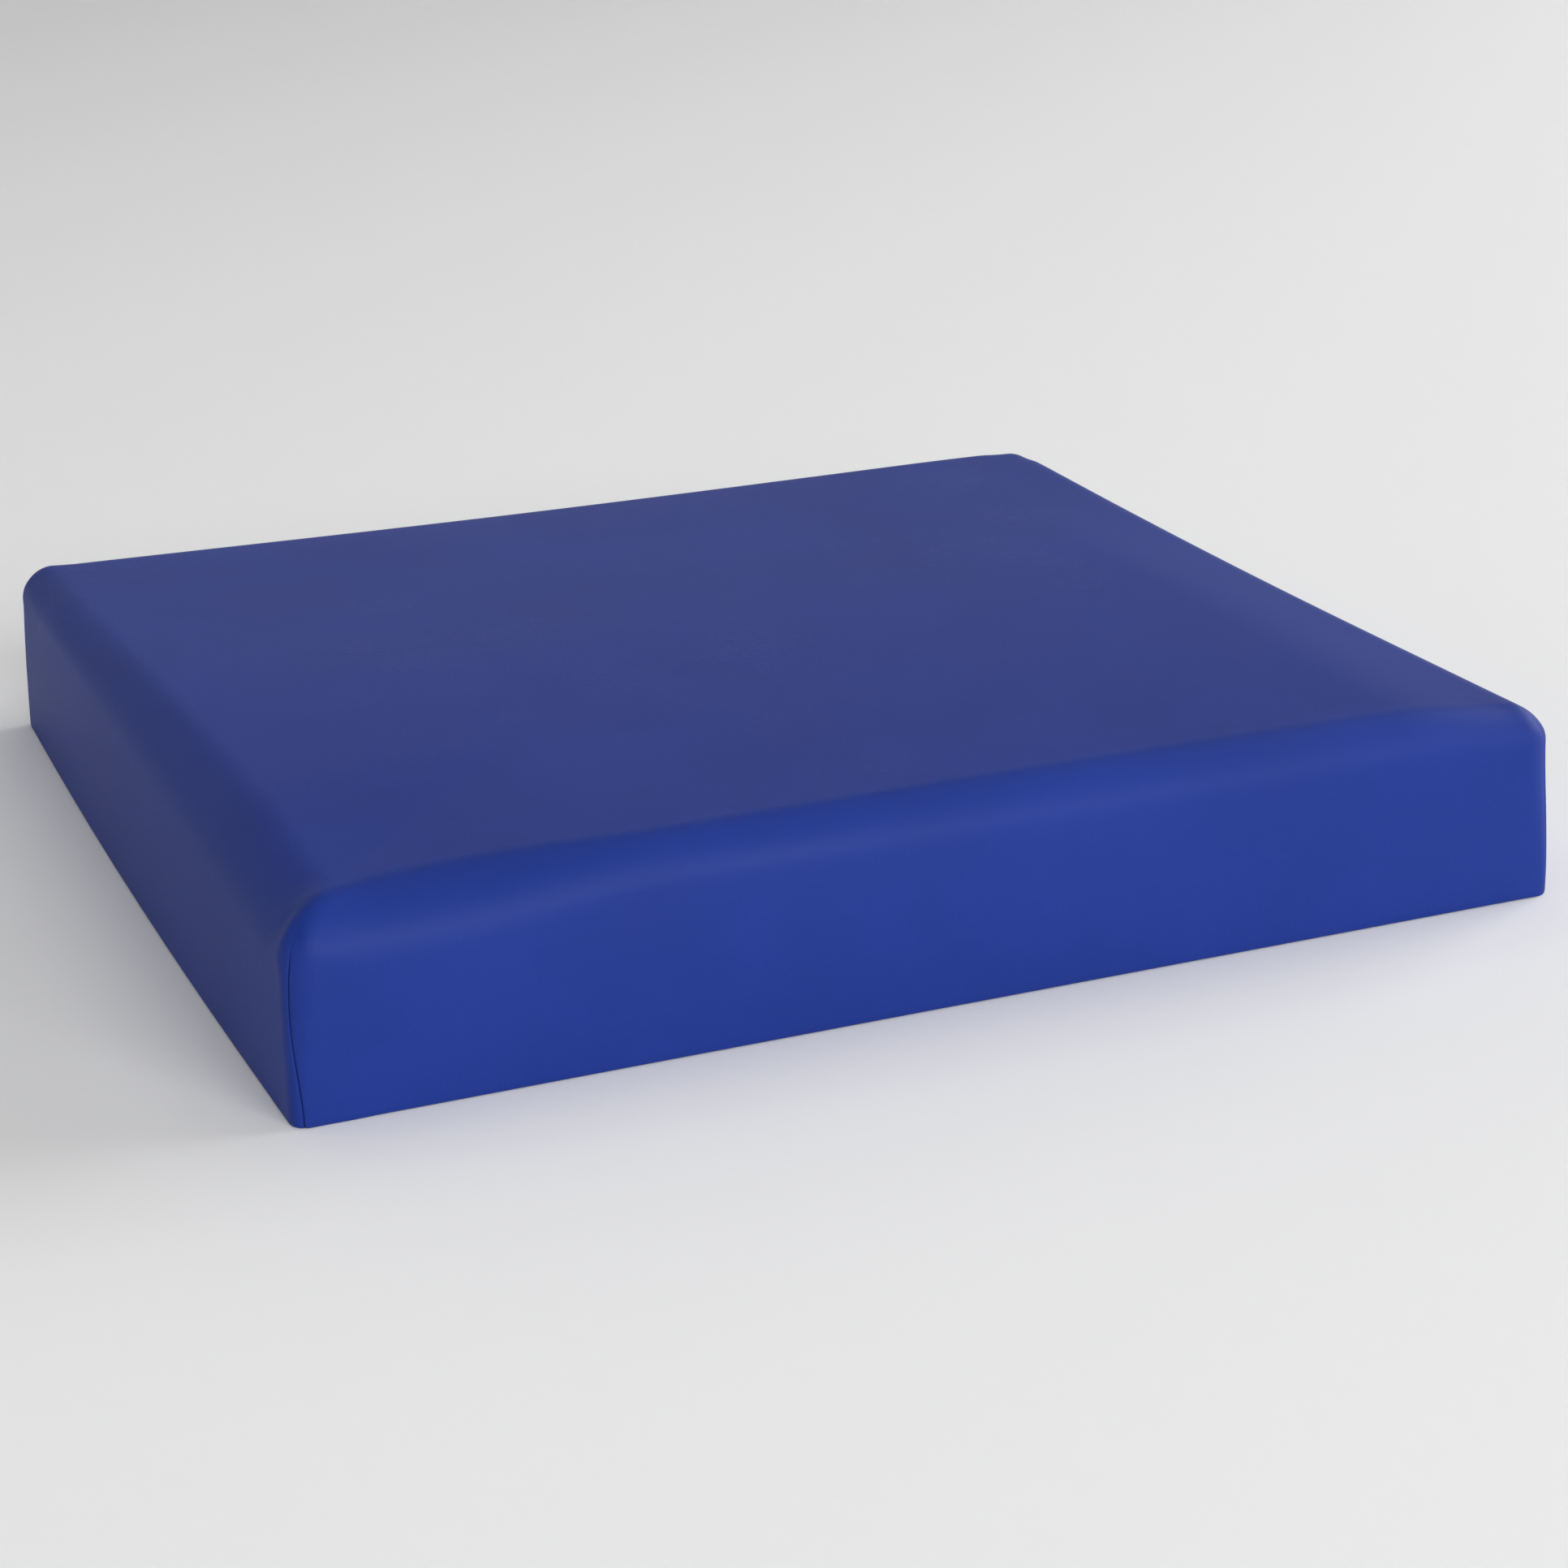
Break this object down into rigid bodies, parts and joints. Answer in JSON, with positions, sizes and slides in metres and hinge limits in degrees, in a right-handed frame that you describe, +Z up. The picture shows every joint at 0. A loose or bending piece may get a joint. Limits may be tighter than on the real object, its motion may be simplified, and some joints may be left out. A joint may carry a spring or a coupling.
{
  "type": "balance pad",
  "caption": "Rectangular foam balance pad in a zip-off blue leatherette cover with rounded top edges and a non-slip underside.",
  "frame": {"origin": "centre of the underside, on the surface that the pad stands on", "axes": "+X along the long sides, +Y towards the rear side with the zip, +Z up"},
  "size_m": [0.45, 0.4044, 0.068],
  "materials": {
    "leatherette": "satin",
    "nonslip_base": "matte",
    "soft_foam": "matte",
    "firm_foam": "matte",
    "thread": "satin",
    "zip_tape": "matte",
    "zip_coil": "satin",
    "zip_metal": "satin"
  },
  "bodies": {
    "pad": {"top_cover": "leatherette", "rear_strip": "leatherette", "base_panel": "nonslip_base", "foam_soft_layer": "soft_foam", "foam_firm_layer": "firm_foam", "base_seam_thread": "thread", "zip_tape_upper": "zip_tape", "zip_tape_lower": "zip_tape", "zip_coil_upper": "zip_coil", "zip_coil_lower": "zip_coil", "zip_stitching_upper": "thread", "zip_stitching_lower": "thread", "zip_top_stops": "zip_metal", "zip_bottom_stop": "zip_metal", "corner_seam_thread_front_left": "thread", "corner_seam_thread_front_right": "thread", "corner_seam_thread_rear_left": "thread", "corner_seam_thread_rear_right": "thread"},
    "slider": {"zip_slider": "zip_metal"},
    "pull": {"zip_pull": "zip_metal"}
  },
  "joints": [
    {"name": "zip_slide", "type": "slide", "parent": "pad", "child": "slider", "axis": [-1, 0, 0], "range_m": [0, 0.37], "deforming": ["zip_coil_upper", "zip_coil_lower", "zip_tape_upper", "zip_tape_lower"]},
    {"name": "pull_swing", "type": "hinge", "parent": "slider", "child": "pull", "pos_m": [0.186, 0.20295, 0.03], "axis": [0, 0, -1], "range_deg": [0, 180]}
  ]
}
